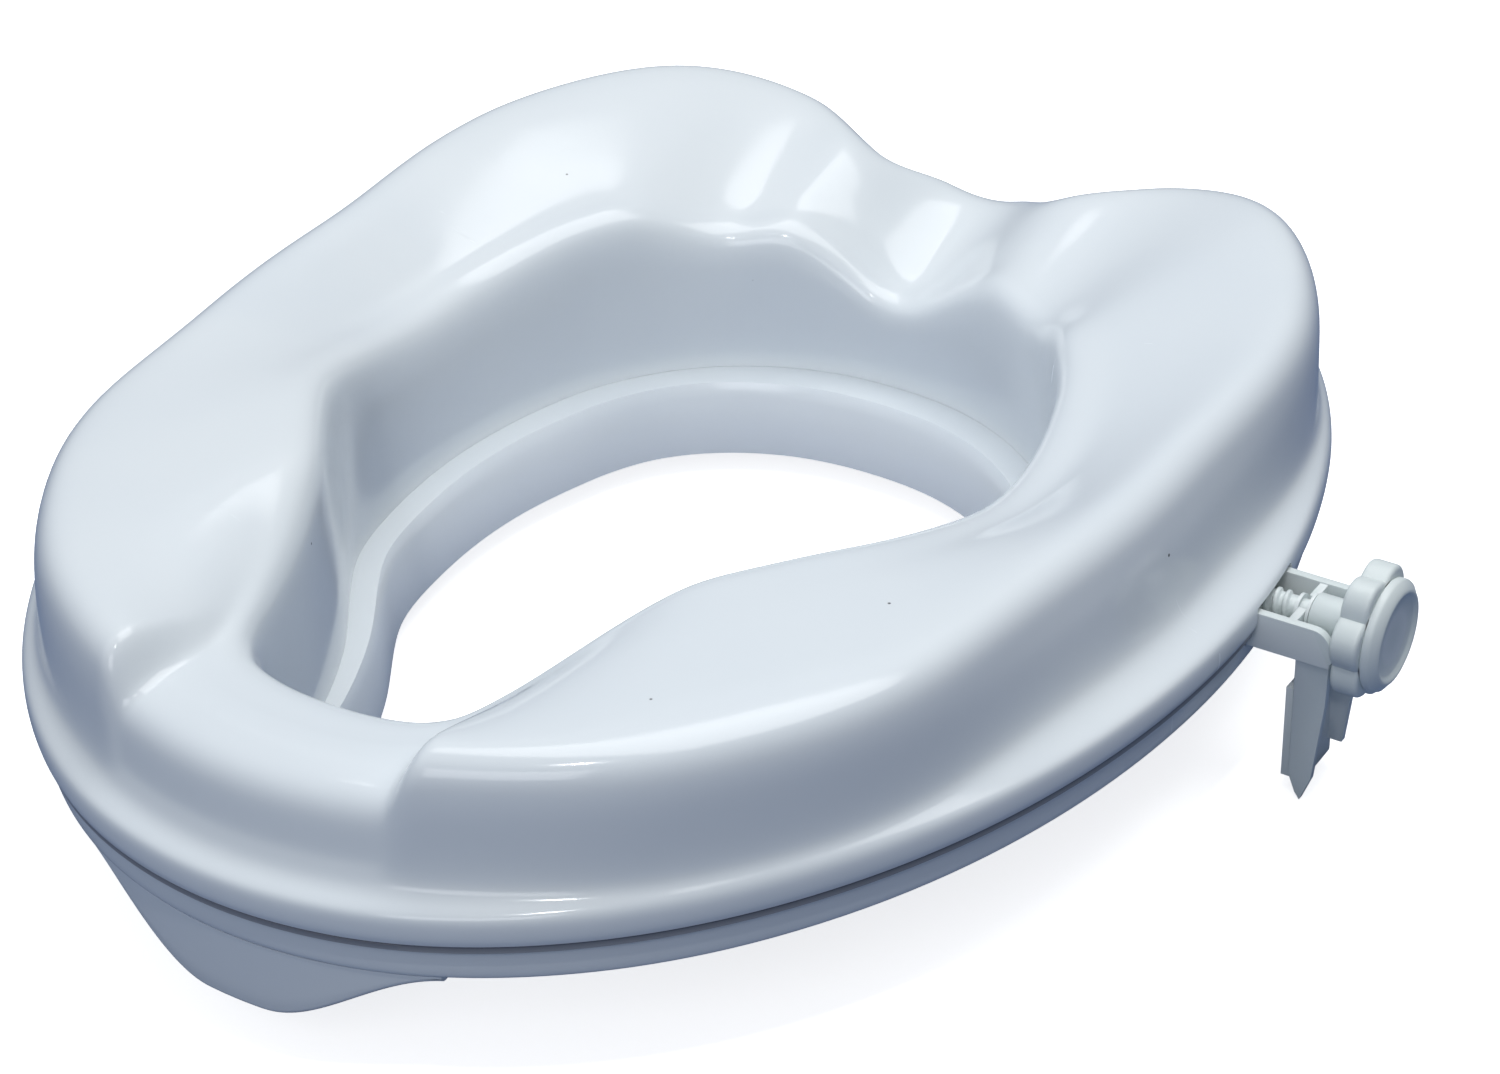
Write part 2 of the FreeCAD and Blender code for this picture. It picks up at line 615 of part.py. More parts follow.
def build():
    """All nodes by name, in the modelling frame."""
    slots = both_sides(arm_slot())
    holes = both_sides(Part.makeCompound(guide_screw_holes()))
    nodes = {
        "seat_shell": ring_solid(seat_rows, seat_inner_rows).cut(slots),
        "base_shell": ring_solid(base_under_rows, base_upper_rows).cut(slots).cut(holes),
        "seam_bead": ring_solid(bead_outer_rows, bead_inner_rows).cut(slots),
        "front_guard": front_guard(),
    }
    for name, (angle, side) in PADS.items():
        nodes["rest_pad_" + name] = rest_pad(angle, side)
    inside = {"guide_block": guide_block(), "captive_nut": captive_nut()}
    for end, screw in zip(("front", "rear"), guide_screws()):
        inside["guide_screw_" + end] = screw
    for name, shape in inside.items():
        nodes[name + "_right"] = shape
        nodes[name + "_left"] = mirrored(shape)
    nodes["bracket"] = bracket()
    nodes["jaw_pad"] = jaw_pad()
    nodes["clamp_screw"] = clamp_screw()
    nodes["thrust_washer"] = thrust_washer()
    nodes["retaining_clip"] = retaining_clip()
    nodes["knob"] = knob()
    nodes["knob_cap"] = knob_cap()
    return nodes


def main():
    os.makedirs("parts", exist_ok=True)
    start = origin()
    for name, shape in build().items():
        shape.translate(start * -1.0)
        shape.exportStep("parts/" + name + ".step")
        state = "valid" if shape.isValid() else "INVALID"
        box_size = shape.BoundBox
        print(name, state, len(shape.Solids), round(shape.Volume), round(box_size.ZMin, 2))
    print("origin was at", start)


main()
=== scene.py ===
import math

import bmesh
import bpy
import numpy as np
from mathutils import Matrix, Vector


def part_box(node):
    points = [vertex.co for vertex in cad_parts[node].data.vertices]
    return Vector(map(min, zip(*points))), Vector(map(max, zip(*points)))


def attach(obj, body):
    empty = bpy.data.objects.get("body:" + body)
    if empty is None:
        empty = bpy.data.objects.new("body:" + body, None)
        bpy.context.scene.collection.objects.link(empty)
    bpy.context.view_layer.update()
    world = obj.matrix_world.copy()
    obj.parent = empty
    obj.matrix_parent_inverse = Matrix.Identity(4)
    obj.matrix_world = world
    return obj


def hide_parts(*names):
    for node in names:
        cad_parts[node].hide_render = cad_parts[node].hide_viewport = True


# Looks of a raised toilet seat: glossy moulded shells, a moulded bracket with its clamp screw and
# a lobed knob. Shapes are given in millimetres from the middle of the lip's depth and from the
# level of the bracket's leg tip, and at() places them in the frame.

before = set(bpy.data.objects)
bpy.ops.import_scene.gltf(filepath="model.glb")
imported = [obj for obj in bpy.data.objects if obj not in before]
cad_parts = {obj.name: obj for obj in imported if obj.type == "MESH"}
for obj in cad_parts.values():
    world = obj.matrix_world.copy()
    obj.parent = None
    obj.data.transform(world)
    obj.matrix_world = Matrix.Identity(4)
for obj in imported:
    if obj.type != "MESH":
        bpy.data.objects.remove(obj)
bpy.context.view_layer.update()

MM = 0.001
LIP_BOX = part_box("seat_shell")
LEG_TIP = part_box("bracket")[0].z
MIDDLE_Y = (LIP_BOX[0].y + LIP_BOX[1].y) / 2.0

# ---- Driving dimensions of the shells -----------------------------------------------------------
HALF_WIDTH = 173.8
HALF_DEPTH = 207.5
WIDEST_Y = 26.0
REAR_POWER = 7.0
REAR_TAPER = 0.36

REST_Z = 41.0
LIP_Z = 54.0
TOP_Z = 101.5
CORNER_RISE = 6.0
REAR_CREST_Z = 94.5
FRONT_DIP_Z = 88.0
REAR_DIP_Z = 77.0
LEDGE_Z = 34.0
SEAT_FOOT_Z = 34.1
COLLAR_Z = 9.0
WALL = 3.0
LEDGE_WIDTH = (11.5, 14.5)
STEP_INSET = 4.4
BAND_INSET = 3.4
BAND_Z = 52.0
TONGUE = (5.4, 8.0)
TONGUE_Z = 57.5

FRONT_DIP_X = (43.5, 51.5)
REAR_DIP_X = (2.0, 48.0)
CORNER_X = 128.0
DISH = 15.0
CHEEK_ANGLES = (10.5, 28.0)

# Half of the aperture, front to rear: plan angle of the matching rim point, then x and y.
APERTURE = (
    (0.0, 0.0, -152.0), (5.5, 19.5, -150.0), (9.5, 31.5, -144.0), (11.5, 36.5, -136.5),
    (13.0, 40.0, -126.0), (17.0, 46.5, -106.0), (24.0, 58.0, -81.0), (36.0, 73.5, -58.0),
    (52.0, 88.0, -35.0), (70.0, 95.0, -4.0), (90.0, 96.5, 28.0), (110.0, 91.5, 60.0),
    (130.0, 80.0, 89.0), (146.0, 62.0, 110.5), (158.0, 42.5, 123.0), (169.0, 22.0, 130.0),
    (180.0, 0.0, 132.0),
)

# Plan angles of the ring's sections, closest together where the recesses begin.
STATIONS = (
    [0.0, 3.0, 6.0, 8.5, 10.2, 11.2, 12.1, 13.0, 14.0, 15.6, 18.0, 21.5, 26.0, 31.0]
    + [37.0 + 7.5 * k for k in range(11)]
    + [118.5 + 4.0 * k for k in range(9)]
    + [154.0, 157.5, 161.0, 164.5, 168.0, 172.0, 176.0, 180.0]
)

GUARD_HALF = 58.0
GUARD_INSET = 4.6
GUARD_Z = 19.0
GUARD_THICKNESS = 3.0

# ---- Driving dimensions of the clamp ------------------------------------------------------------
SCREW_Y = 50.0
SCREW_Z = 55.5
THREAD_R = 4.2
THREAD_ROOT_R = 3.3
THREAD_PITCH = 3.0
NECK_R = 3.2
SCREW_X = (109.0, 202.0)
NECK_X = 178.5
HUB_R = 6.1
KNOB_X = (184.6, 196.8, 205.0)    # hub face, back and front of the lobed head
KNOB_R = 19.6
KNOB_LOBES = 7
KNOB_EDGE = 1.4
LOBE_DEPTH = 2.9
CAP_R = 16.4
CAP_SEAT_R = CAP_R - 1.4
CAP_X = (203.5, 209.5)
CAP_DISH = 1.2
SLOT_X = (158.0, 186.0)
SLOT_Y = (36.4, 63.6)
SLOT_Z = (46.8, 60.5)
SLOT_RADIUS = 1.2
ON_AXIS = 0.0001                  # radius of a turned piece's end, just off its axis


def at(x, y, z):
    """A point in the frame, from millimetres."""
    return Vector((x * MM, MIDDLE_Y + y * MM, LEG_TIP + z * MM))


def blend(value, start, end):
    """0 before start, 1 after end, smooth between."""
    share = min(max((value - start) / (end - start), 0.0), 1.0)
    return share * share * (3.0 - 2.0 * share)


# ---- Plan curves --------------------------------------------------------------------------------
def rim_point(angle):
    """Point of the lip's outline at a plan angle: 0 at the front, 90 at the right."""
    across = abs(math.sin(math.radians(angle)))
    along = math.cos(math.radians(angle))
    front = along >= 0
    power = 2.0 if front else REAR_POWER
    reach = HALF_DEPTH + WIDEST_Y if front else HALF_DEPTH - WIDEST_Y
    scale = ((across / HALF_WIDTH) ** power + (abs(along) / reach) ** power) ** (-1.0 / power)
    x = across * scale
    if not front:
        x *= 1.0 - REAR_TAPER * (along * scale / reach) ** 2
    return np.array((x, WIDEST_Y - along * scale))


def aperture_rows():
    """The aperture's points with a few mirrored ones past each end."""
    before = [(-angle, -x, y) for angle, x, y in APERTURE[3:0:-1]]
    after = [(360.0 - angle, -x, y) for angle, x, y in APERTURE[-2:-5:-1]]
    return np.array(before + list(APERTURE) + after)


APERTURE_ROWS = aperture_rows()


def hole_point(angle):
    """Point of the aperture's outline, by a smooth curve through its points."""
    knots = APERTURE_ROWS[:, 0]
    points = APERTURE_ROWS[:, 1:]
    k = int(np.searchsorted(knots, angle, side="right")) - 1
    k = min(max(k, 1), len(knots) - 3)
    slopes = []
    for m in (k, k + 1):
        before = (points[m] - points[m - 1]) / (knots[m] - knots[m - 1])
        after = (points[m + 1] - points[m]) / (knots[m + 1] - knots[m])
        weight = (knots[m] - knots[m - 1]) / (knots[m + 1] - knots[m - 1])
        slopes.append(before * (1.0 - weight) + after * weight)
    step = knots[k + 1] - knots[k]
    t = (angle - knots[k]) / step
    start = (2 * t**3 - 3 * t**2 + 1) * points[k] + (t**3 - 2 * t**2 + t) * step * slopes[0]
    end = (-2 * t**3 + 3 * t**2) * points[k + 1] + (t**3 - t**2) * step * slopes[1]
    return start + end


def wall_lean(angle):
    """How far the outer wall leans in: most at the sides and the rear crests, least at the corners."""
    front_corner = blend(angle, 12.0, 32.0) * (1.0 - blend(angle, 45.0, 62.0))
    side = blend(angle, 45.0, 70.0) * (1.0 - blend(angle, 95.0, 122.0))
    rear_corner = blend(angle, 95.0, 128.0) * (1.0 - blend(angle, 148.0, 170.0))
    crest = blend(angle, 148.0, 162.0) * (1.0 - blend(angle, 164.0, 173.0))
    return 1.0 - 0.4 * front_corner + 0.75 * side - 0.6 * rear_corner + 1.1 * crest


def top_height(angle):
    x = rim_point(angle)[0]
    if angle < 90:
        return FRONT_DIP_Z + (TOP_Z - FRONT_DIP_Z) * blend(x, *FRONT_DIP_X)
    side = TOP_Z + CORNER_RISE * blend(angle, 90.0, 135.0)
    crest = REAR_CREST_Z + (side - REAR_CREST_Z) * blend(x, REAR_DIP_X[1], CORNER_X)
    return REAR_DIP_Z + (crest - REAR_DIP_Z) * blend(x, *REAR_DIP_X)


def inner_dish(angle):
    """How far the top falls from its outer edge to the aperture."""
    rear = 1.0 - 0.4 * blend(angle, 146.0, 164.0) + 0.3 * blend(angle, 168.0, 179.0)
    cheek = blend(rim_point(angle)[0], *FRONT_DIP_X) - blend(angle, *CHEEK_ANGLES)
    front = (TOP_Z - FRONT_DIP_Z) * cheek if angle < 90 else 0.0
    return front + DISH * blend(angle, 42.0, 88.0) * rear


class Station:
    """One radial section of the ring: a vertical plane from the rim to the aperture."""

    def __init__(self, angle, side):
        self.side = side
        self.rim = rim_point(angle)
        self.hole = hole_point(angle)
        if angle in (0.0, 180.0):
            self.rim[0] = 0.0
            self.hole[0] = 0.0
        across = self.hole - self.rim
        self.width = float(np.linalg.norm(across))
        self.inward = across / self.width
        self.top = top_height(angle)
        self.lean = wall_lean(angle)
        self.dish = inner_dish(angle)
        self.ledge = LEDGE_WIDTH[0] + (LEDGE_WIDTH[1] - LEDGE_WIDTH[0]) * blend(angle, 90.0, 150.0)

    def place(self, row):
        x, y = self.rim + self.inward * row[0]
        return at(self.side * x, y, row[1])


RING = [Station(a, 1) for a in STATIONS] + [Station(a, -1) for a in STATIONS[-2:0:-1]]


# ---- Smooth ring surfaces -----------------------------------------------------------------------
def clamped_basis(count, per_span):
    """Weights of a cubic curve that starts and ends on its first and last pole."""
    spans = count - 3
    knots = np.concatenate(([0.0] * 3, np.arange(spans + 1.0), [float(spans)] * 3))
    values = np.linspace(0.0, spans, spans * per_span + 1)
    weights = np.zeros((len(values), len(knots) - 1))
    for row, value in enumerate(values):
        span = min(int(value), spans - 1) + 3
        weights[row, span] = 1.0
    for degree in (1, 2, 3):
        grown = np.zeros_like(weights)
        for k in range(len(knots) - degree - 1):
            left = knots[k + degree] - knots[k]
            right = knots[k + degree + 1] - knots[k + 1]
            if left > 0:
                grown[:, k] += (values - knots[k]) / left * weights[:, k]
            if right > 0:
                grown[:, k] += (knots[k + degree + 1] - values) / right * weights[:, k + 1]
        weights = grown
    return weights[:, :count]


def periodic_basis(count, per_span):
    """Weights of a closed cubic curve."""
    weights = np.zeros((count * per_span, count))
    for k in range(count):
        for m in range(per_span):
            t = m / per_span
            share = ((1 - t) ** 3, 3 * t**3 - 6 * t**2 + 4, -3 * t**3 + 3 * t**2 + 3 * t + 1, t**3)
            for j in range(4):
                weights[k * per_span + m, (k + j - 1) % count] += share[j] / 6.0
    return weights


def skin(rows_of, around, along):
    """Grid of points of a smooth ring surface."""
    poles = np.array([[station.place(row) for row in rows_of(station)] for station in RING])
    around_weights = periodic_basis(len(RING), around)
    along_weights = clamped_basis(poles.shape[1], along)
    return np.einsum("ab,bcd,ec->aed", around_weights, poles, along_weights)


def offset_rows(rows, distance):
    """Rows moved sideways in their own section, to the left of their direction of travel."""
    moved = []
    for k, row in enumerate(rows):
        before = rows[max(k - 1, 0)]
        after = rows[min(k + 1, len(rows) - 1)]
        run = after[0] - before[0]
        rise = after[1] - before[1]
        length = math.hypot(run, rise)
        moved.append((row[0] + distance * rise / length, row[1] - distance * run / length))
    return moved


def finish_mesh(piece, sharp=40.0):
    """Consistent outward normals, smooth shading and sharp corners kept."""
    mesh = piece.data
    work = bmesh.new()
    work.from_mesh(mesh)
    bmesh.ops.recalc_face_normals(work, faces=work.faces)
    work.to_mesh(mesh)
    work.free()
    mesh.shade_smooth()
    mesh.set_sharp_from_angle(angle=math.radians(sharp))
    return piece


def linked(name, data):
    """New object in the scene."""
    piece = bpy.data.objects.new(name, data)
    bpy.context.scene.collection.objects.link(piece)
    return piece


def new_piece(name, points, faces):
    mesh = bpy.data.meshes.new(name)
    mesh.from_pydata([tuple(point) for point in points], [], faces)
    mesh.update()
    return finish_mesh(linked(name, mesh))


def loop_mesh(name, loops, closed_around=True):
    """Mesh from closed section loops that follow each other, capped where they don't close."""
    count, size = loops.shape[:2]
    faces = []
    for k in range(count if closed_around else count - 1):
        first = k * size
        second = (k + 1) % count * size
        for m in range(size):
            n = (m + 1) % size
            faces.append((first + m, first + n, second + n, second + m))
    if not closed_around:
        faces.append(tuple(range(size)))
        faces.append(tuple(range((count - 1) * size, count * size)))
    return new_piece(name, loops.reshape(-1, 3), faces)


def ring_piece(name, outer_rows, inner_rows, around, along):
    """Closed ring between an outer and an inner skin."""
    outer = skin(outer_rows, around, along)
    inner = skin(inner_rows, around, 1)
    return loop_mesh(name, np.concatenate((outer, inner[:, ::-1]), axis=1))


# ---- Sections of the shells ---------------------------------------------------------------------
def seat_rows(station):
    """Outer skin from the foot of the lip, over the top and down the aperture wall."""
    top = station.top
    width = station.width
    lean = station.lean
    depth = min(1.0, (top - LIP_Z - 12.0) / 22.0)
    lip = [(0.6, LIP_Z), (0.0, 55.2), (-0.1, 58.0), (0.2, 61.0), (1.4, 63.0)]
    shelf = [(1.4 + 3.2 * lean, 64.0), (1.4 + 6.2 * lean, 65.4)]
    foot = 1.4 + 8.2 * lean
    edge = foot + 2.4 * lean
    wall = [(foot, 69.0), (foot + 1.2 * lean, top - 17 * depth), (edge, top - 11 * depth)]
    roll = [(edge + 1.6, top - 5.5 * depth), (edge + 5.6, top - 1.4 * depth), (edge + 12.0, top)]
    low = top - station.dish
    inner_roll = [(width - 17.0, low), (width - 10.0, low - 0.3), (width - 4.5, low - 2.4 * depth)]
    drop = [(width - 1.6, low - 7 * depth), (width - 0.6, low - 14 * depth)]
    skirt = [(width - 0.2, 54.0), (width, 45.0), (width, SEAT_FOOT_Z)]
    span = width - 29.0 - edge
    crown = [(edge + 12.0 + span * share, top + 0.6 - station.dish * share) for share in (0.25, 0.5, 0.75)]
    return lip + shelf + wall + roll + crown + inner_roll + drop + skirt


def seat_inner_rows(station):
    rows = offset_rows(seat_rows(station), WALL)
    rows[0] = (0.6 + WALL, LIP_Z)
    rows[-1] = (station.width - WALL, SEAT_FOOT_Z)
    return rows


def base_under_rows(station):
    """Outer and lower skin: tongue, band, flat underside, step, and the outside of the collar."""
    width = station.width
    collar = width + station.ledge - WALL
    tongue = [(TONGUE[0], z) for z in (TONGUE_Z, 54.5, BAND_Z + 0.2, BAND_Z)]
    band = [(BAND_INSET + 0.6, BAND_Z), (BAND_INSET, BAND_Z - 0.4)]
    band += [(BAND_INSET, 47.0), (BAND_INSET + 0.1, 42.4)]
    under = [(BAND_INSET + 0.8, REST_Z), (7.0, REST_Z), (20.0, REST_Z), (width * 0.5, REST_Z)]
    low = LEDGE_Z - WALL
    turn = width - STEP_INSET - WALL
    step = [(turn - 7.0, REST_Z), (turn - 0.4, REST_Z), (turn, REST_Z - 0.4), (turn, low + 0.6)]
    ledge = [(turn + 0.4, low), (width + 4.0, low), (collar - 1.0, low), (collar, low - 1.0)]
    return tongue + band + under + step + ledge + [(collar, 22.0), (collar, COLLAR_Z)]


def base_upper_rows(station):
    """Inner and upper skin, matching the lower one."""
    width = station.width
    collar = width + station.ledge
    plate = REST_Z + WALL
    tongue = [(TONGUE[1], z) for z in (TONGUE_Z, 54.5, 50.0, 48.0)]
    corner = [(TONGUE[1], 46.0), (TONGUE[1] + 0.3, 44.6), (TONGUE[1] + 1.2, plate), (12.0, plate)]
    over = [(14.0, plate), (18.0, plate), (24.0, plate), (width * 0.5, plate)]
    turn = width - STEP_INSET
    step = [(turn - 5.0, plate), (turn - 0.6, plate), (turn, plate - 0.6), (turn, LEDGE_Z + 0.4)]
    ledge = [(turn + 0.4, LEDGE_Z), (width + 4.0, LEDGE_Z), (collar - 2.6, LEDGE_Z), (collar, LEDGE_Z - 1.6)]
    return tongue + corner + over + step + ledge + [(collar, 22.0), (collar, COLLAR_Z)]


# Painted shadow: sections of a near-black strip set in the gap under the lip, standing for the shade in the
# gap between the shells.
def gap_shadow_outer_rows(station):
    return [(1.4, 51.3), (1.2, 52.0), (1.2, 53.0), (1.4, 53.9), (4.2, 53.95), (4.2, 54.6), (4.2, 57.0)]


def gap_shadow_inner_rows(station):
    return [(3.3, 51.3), (3.9, 52.06), (5.0, 52.06), (5.2, 53.0), (5.2, 54.2), (5.2, 54.6), (5.2, 57.0)]


# ---- Cutting ------------------------------------------------------------------------------------
def cut(piece, cutter):
    """Takes the cutter's volume away from the piece, and removes the cutter."""
    modifier = piece.modifiers.new("cut", "BOOLEAN")
    modifier.operation = "DIFFERENCE"
    modifier.solver = "EXACT"
    modifier.object = cutter
    bpy.context.view_layer.update()
    done = bpy.data.meshes.new_from_object(piece.evaluated_get(bpy.context.evaluated_depsgraph_get()))
    piece.modifiers.clear()
    piece.data = done
    done.name = piece.name
    bpy.data.objects.remove(cutter)
    finish_mesh(piece)


def rounded_box(name, low, high, radius):
    """Box with its edges along X rounded, from millimetre corners."""
    work = bmesh.new()
    bmesh.ops.create_cube(work, size=1.0)
    first, last = at(*low), at(*high)
    for vertex in work.verts:
        for axis in range(3):
            vertex.co[axis] = last[axis] if vertex.co[axis] > 0 else first[axis]
    along = [e for e in work.edges if abs((e.verts[0].co - e.verts[1].co).x) > (last - first).x * 0.5]
    bmesh.ops.bevel(work, geom=along, offset=radius * MM, segments=4, affect="EDGES", profile=0.5)
    mesh = bpy.data.meshes.new(name)
    work.to_mesh(mesh)
    work.free()
    return linked(name, mesh)


def arm_slots(piece):
    """Cuts the openings for the bracket's arm, one on each side."""
    for side in (1, -1):
        x = sorted((side * SLOT_X[0], side * SLOT_X[1]))
        low = (x[0], SLOT_Y[0], SLOT_Z[0])
        high = (x[1], SLOT_Y[1], SLOT_Z[1])
        cut(piece, rounded_box("slot", low, high, SLOT_RADIUS))


# ---- Turned pieces ------------------------------------------------------------------------------
def turned(name, outline_at, segments):
    """Closed piece round the screw's axis, from its outline of (x, radius) rows at each angle."""
    loops = []
    for k in range(segments):
        angle = 2.0 * math.pi * k / segments
        across = math.cos(angle)
        up = math.sin(angle)
        loops.append([at(x, SCREW_Y + r * across, SCREW_Z + r * up) for x, r in outline_at(angle)])
    return loop_mesh(name, np.array(loops))


def corner_arc(x, radius, size, start):
    """Rows of a rounded corner: a quarter turn back from a start angle round (x, radius)."""
    steps = 5
    rows = []
    for k in range(steps + 1):
        angle = math.radians(start - 90.0 * k / steps)
        rows.append((x + size * math.cos(angle), radius + size * math.sin(angle)))
    return rows


def lobe_radius(angle):
    """Radius of the knob's outline: a crest on each lobe, and a dip between lobes."""
    wave = 0.5 + 0.5 * math.cos(KNOB_LOBES * (angle + math.pi / 2.0))
    return KNOB_R - LOBE_DEPTH * (1.0 - wave**0.5)


# ---- Materials ----------------------------------------------------------------------------------
class Graph:
    """Small helper round a material's node tree."""

    def __init__(self, name):
        self.material = bpy.data.materials.new(name)
        self.material.use_nodes = True
        self.tree = self.material.node_tree
        self.shader = self.tree.nodes["Principled BSDF"]
        self.place = self.add("ShaderNodeTexCoord").outputs["Object"]

    def add(self, kind, **settings):
        node = self.tree.nodes.new(kind)
        for key, value in settings.items():
            setattr(node, key, value)
        return node

    def link(self, source, target):
        self.tree.links.new(source, target)

    def noise(self, scale, detail=4.0, roughness=0.5, stretch=None):
        node = self.add("ShaderNodeTexNoise")
        node.inputs["Scale"].default_value = scale
        node.inputs["Detail"].default_value = detail
        node.inputs["Roughness"].default_value = roughness
        source = self.place
        if stretch:
            mapping = self.add("ShaderNodeMapping")
            mapping.inputs["Scale"].default_value = stretch
            mapping.inputs["Rotation"].default_value = (0.3, 0.5, 0.7)
            self.link(self.place, mapping.inputs["Vector"])
            source = mapping.outputs["Vector"]
        self.link(source, node.inputs["Vector"])
        return node.outputs["Fac"]

    def band(self, value, low, high, out_low=0.0, out_high=1.0):
        node = self.add("ShaderNodeMapRange", interpolation_type="SMOOTHSTEP")
        node.inputs["From Min"].default_value = low
        node.inputs["From Max"].default_value = high
        node.inputs["To Min"].default_value = out_low
        node.inputs["To Max"].default_value = out_high
        self.link(value, node.inputs["Value"])
        return node.outputs["Result"]

    def math(self, operation, first, second):
        node = self.add("ShaderNodeMath", operation=operation)
        for value, socket in ((first, node.inputs[0]), (second, node.inputs[1])):
            if isinstance(value, (int, float)):
                socket.default_value = value
            else:
                self.link(value, socket)
        return node.outputs[0]

    def mix(self, share, first, second):
        node = self.add("ShaderNodeMix", data_type="RGBA")
        for value, socket in ((share, 0), (first, 6), (second, 7)):
            if isinstance(value, (int, float, tuple)):
                node.inputs[socket].default_value = value
            else:
                self.link(value, node.inputs[socket])
        return node.outputs[2]

    def bump(self, height, strength, distance, normal=None):
        node = self.add("ShaderNodeBump")
        node.inputs["Strength"].default_value = strength
        node.inputs["Distance"].default_value = distance
        self.link(height, node.inputs["Height"])
        if normal is not None:
            self.link(normal, node.inputs["Normal"])
        return node.outputs["Normal"]


def colour(red, green, blue):
    return (red, green, blue, 1.0)


PLASTIC_IOR = 1.48


def moulded_plastic(name, base, shade, roughness, grain, specks=False):
    """Moulded plastic: slow colour drift, a faint orange-peel skin, hairline scuffs and dust specks."""
    g = Graph(name)
    drift = g.band(g.noise(9.0, 3.0), 0.35, 0.65)
    tint = g.mix(drift, base, shade)
    fine = g.noise(900.0, 2.0)
    tint = g.mix(g.band(fine, 0.3, 0.7, 0.0, 0.10), tint, shade)
    hairlines = g.band(g.noise(38.0, 2.0, 0.4, (1.0, 26.0, 1.0)), 0.70, 0.74)
    patches = g.band(g.noise(14.0, 2.0), 0.56, 0.66)
    scuffs = g.math("MULTIPLY", hairlines, patches)
    rough = g.band(g.noise(22.0, 5.0), 0.3, 0.7, roughness * 0.82, roughness * 1.25)
    rough = g.math("ADD", rough, g.math("MULTIPLY", scuffs, 0.16))
    if specks:
        cells = g.add("ShaderNodeTexVoronoi")
        cells.inputs["Scale"].default_value = 46.0
        g.link(g.place, cells.inputs["Vector"])
        dots = g.band(cells.outputs["Distance"], 0.012, 0.03, 1.0, 0.0)
        rare = g.band(g.noise(31.0, 1.0), 0.60, 0.62)
        tint = g.mix(g.math("MULTIPLY", dots, rare), tint, colour(0.10, 0.10, 0.11))
    # Lighter colour on sharp convex edges, picked out by pointiness.
    edges = g.add("ShaderNodeNewGeometry").outputs["Pointiness"]
    edge_lightening = g.band(edges, 0.53, 0.60, 0.0, 0.35)
    tint = g.mix(edge_lightening, tint, colour(0.86, 0.88, 0.89))
    g.link(tint, g.shader.inputs["Base Color"])
    g.link(rough, g.shader.inputs["Roughness"])
    g.shader.inputs["IOR"].default_value = PLASTIC_IOR
    peel = g.bump(g.noise(grain, 3.0), 0.25, 0.00006)
    waves = g.bump(g.noise(34.0, 2.0), 0.30, 0.00035, peel)
    lines = g.bump(scuffs, 0.15, 0.00003, waves)
    g.link(lines, g.shader.inputs["Normal"])
    return g.material


def rubber():
    g = Graph("pad_rubber")
    tint = g.mix(g.band(g.noise(60.0, 5.0), 0.3, 0.7), colour(0.075, 0.078, 0.084), colour(0.12, 0.12, 0.13))
    g.link(tint, g.shader.inputs["Base Color"])
    g.shader.inputs["Roughness"].default_value = 0.62
    g.link(g.bump(g.noise(1400.0, 4.0), 0.5, 0.0001), g.shader.inputs["Normal"])
    return g.material


def metal(name, base, shade, roughness):
    """Drawn or turned metal with fine streaks and slight tarnish."""
    g = Graph(name)
    streaks = g.noise(300.0, 4.0, 0.6, (0.06, 1.0, 1.0))
    tint = g.mix(g.band(g.noise(90.0, 5.0), 0.35, 0.7), base, shade)
    g.link(tint, g.shader.inputs["Base Color"])
    g.link(g.band(streaks, 0.3, 0.7, roughness * 0.8, roughness * 1.35), g.shader.inputs["Roughness"])
    g.shader.inputs["Metallic"].default_value = 1.0
    g.link(g.bump(streaks, 0.25, 0.00005), g.shader.inputs["Normal"])
    return g.material


SHELL = moulded_plastic(
    "shell_white", colour(0.73, 0.775, 0.80), colour(0.70, 0.75, 0.785), 0.13, 420.0, specks=True
)
FITTING = moulded_plastic("fitting_white", colour(0.70, 0.76, 0.75), colour(0.65, 0.71, 0.71), 0.34, 700.0)
INNER = moulded_plastic("inner_plastic", colour(0.60, 0.63, 0.67), colour(0.55, 0.58, 0.62), 0.45, 700.0)
# Near-black colour painted as the shadow in the gap between the lip and the base's band.
GAP_SHADOW = moulded_plastic("seam_grey", colour(0.055, 0.065, 0.10), colour(0.045, 0.05, 0.08), 0.55, 900.0)
PAD = rubber()
STEEL = metal("screw_steel", colour(0.60, 0.61, 0.62), colour(0.50, 0.50, 0.51), 0.30)
BRASS = metal("nut_brass", colour(0.72, 0.55, 0.27), colour(0.60, 0.44, 0.20), 0.32)


def dress(piece, material, body, slot, *nodes):
    """Gives a new piece its material and its body, and hides the nodes it stands for. The slot argument is
    not used.
    """
    piece.data.materials.clear()
    piece.data.materials.append(material)
    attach(piece, body)
    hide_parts(*nodes)


# ---- Shells -------------------------------------------------------------------------------------
def make_seat_top():
    piece = ring_piece("seat_top", seat_rows, seat_inner_rows, 5, 4)
    arm_slots(piece)
    dress(piece, SHELL, "seat", "shell_white", "seat_shell")


